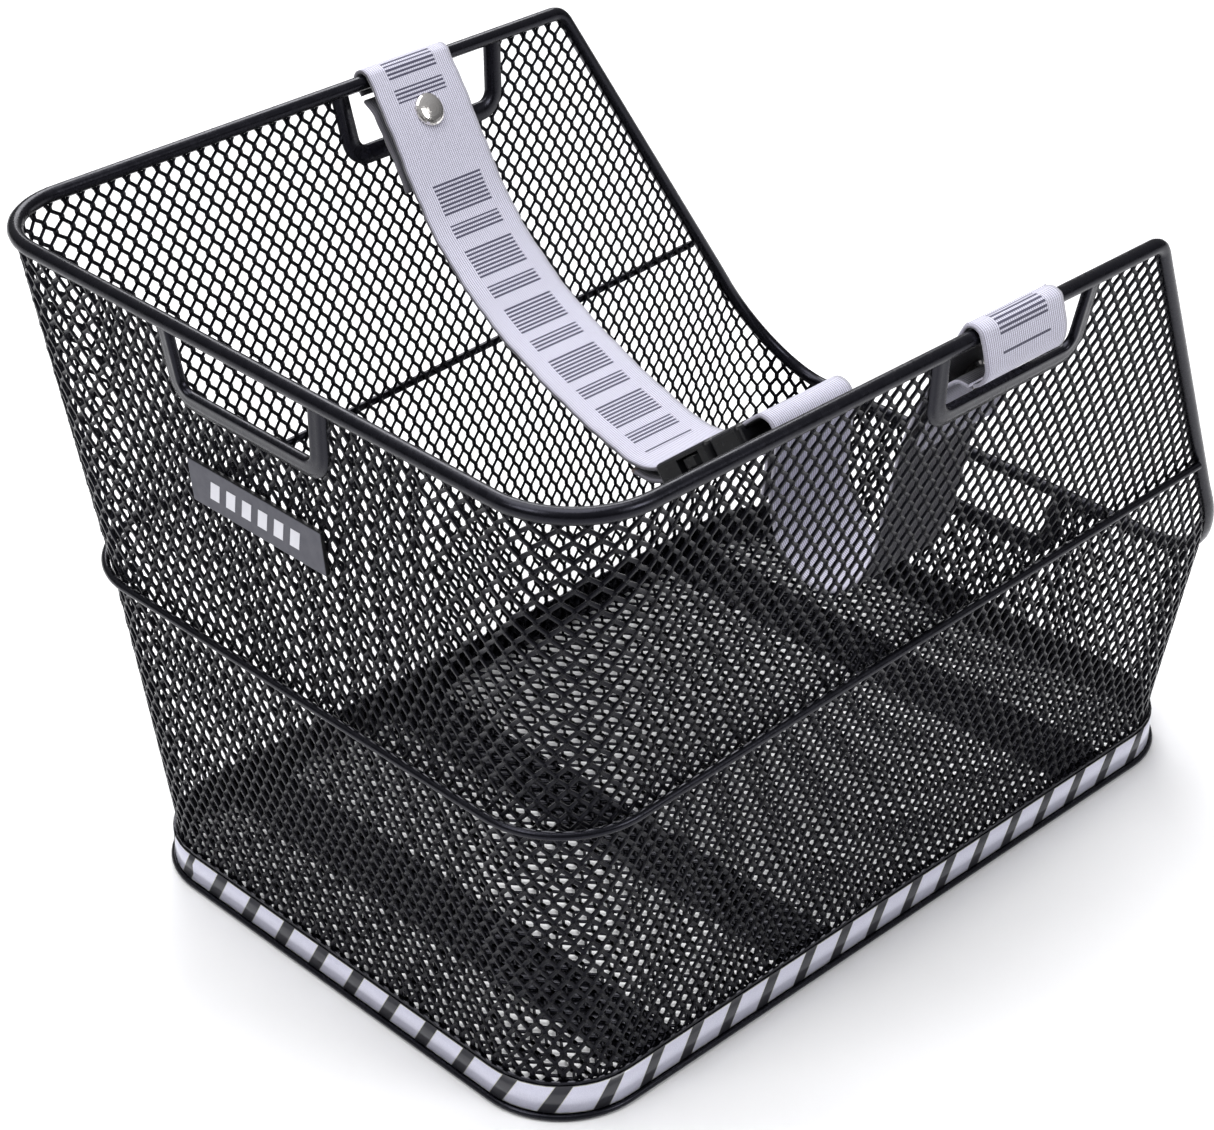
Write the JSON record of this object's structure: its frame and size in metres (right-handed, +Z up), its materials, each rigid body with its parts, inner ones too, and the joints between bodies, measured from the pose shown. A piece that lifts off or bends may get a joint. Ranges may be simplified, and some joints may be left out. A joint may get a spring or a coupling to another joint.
{
  "type": "rear carrier basket",
  "caption": "Open-topped expanded-metal basket for a rear carrier, with a lowered end, hand holes, a base band and a two-part webbing strap closed by a side-release buckle.",
  "frame": {"origin": "centre of the underside of the middle floor bar, the face that rests on the carrier", "axes": "+X runs along the basket towards its lowered end wall, +Y towards the left side wall, +Z up"},
  "size_m": [0.4741, 0.3787, 0.331],
  "materials": {
    "black_coat": "black powder coat on steel",
    "reflective_film": "white retroreflective film with dark slanted bars",
    "badge": "dark grey pressed plate",
    "black_plastic": "moulded black acetal",
    "webbing": "silver-white ribbed webbing with woven dark bars",
    "nickel": "nickel-plated press stud"
  },
  "bodies": {
    "basket": {"rim_tube": "black_coat", "middle_wire": "black_coat", "base_wire": "black_coat", "base_band": "black_coat", "reflective_tape": "reflective_film", "mesh_back_wall": "black_coat", "mesh_front_wall": "black_coat", "mesh_left_wall": "black_coat", "mesh_right_wall": "black_coat", "mesh_back_left_corner": "black_coat", "mesh_back_right_corner": "black_coat", "mesh_front_left_corner": "black_coat", "mesh_front_right_corner": "black_coat", "mesh_floor": "black_coat", "floor_bar_1": "black_coat", "floor_bar_2": "black_coat", "floor_bar_3": "black_coat", "back_handle_frame": "black_coat", "left_handle_frame": "black_coat", "right_handle_frame": "black_coat", "front_handle_frame": "black_coat", "badge_plate": "badge", "badge_retainer": "black_plastic", "left_strap": "webbing", "left_strap_tail": "webbing", "right_strap": "webbing", "right_strap_tail": "webbing", "left_stud_cap": "nickel", "left_stud_socket": "nickel", "right_stud_cap": "nickel", "right_stud_socket": "nickel", "buckle_socket": "black_plastic"},
    "plug": {"buckle_plug": "black_plastic"},
    "back_arm": {"back_release_arm": "black_plastic"},
    "front_arm": {"front_release_arm": "black_plastic"},
    "left_stud_male": {"left_stud_ball": "nickel", "left_stud_rivet": "nickel"},
    "right_stud_male": {"right_stud_ball": "nickel", "right_stud_rivet": "nickel"}
  },
  "joints": [
    {"name": "buckle_release", "type": "slide", "parent": "basket", "child": "plug", "axis": [0, -0.766, 0.6428], "range_m": [0, 0.03], "deforming": ["right_strap", "back_release_arm", "front_release_arm"]},
    {"name": "back_arm_press", "type": "hinge", "parent": "plug", "child": "back_arm", "pos_m": [0.021, -0.0518, 0.22484], "axis": [0, -0.6428, -0.766], "range_deg": [0, 13], "stiffness_Nm_per_rad": 0.6},
    {"name": "front_arm_press", "type": "hinge", "parent": "plug", "child": "front_arm", "pos_m": [0.062, -0.0518, 0.22484], "axis": [0, 0.6428, 0.766], "range_deg": [0, 13], "stiffness_Nm_per_rad": 0.6},
    {"name": "left_stud_snap", "type": "slide", "parent": "basket", "child": "left_stud_male", "axis": [0, 0.8383, -0.5452], "range_m": [0, 0.0035], "deforming": ["left_strap_tail"]},
    {"name": "right_stud_snap", "type": "slide", "parent": "basket", "child": "right_stud_male", "axis": [0, -0.9165, -0.4], "range_m": [0, 0.0035], "deforming": ["right_strap_tail"]}
  ]
}
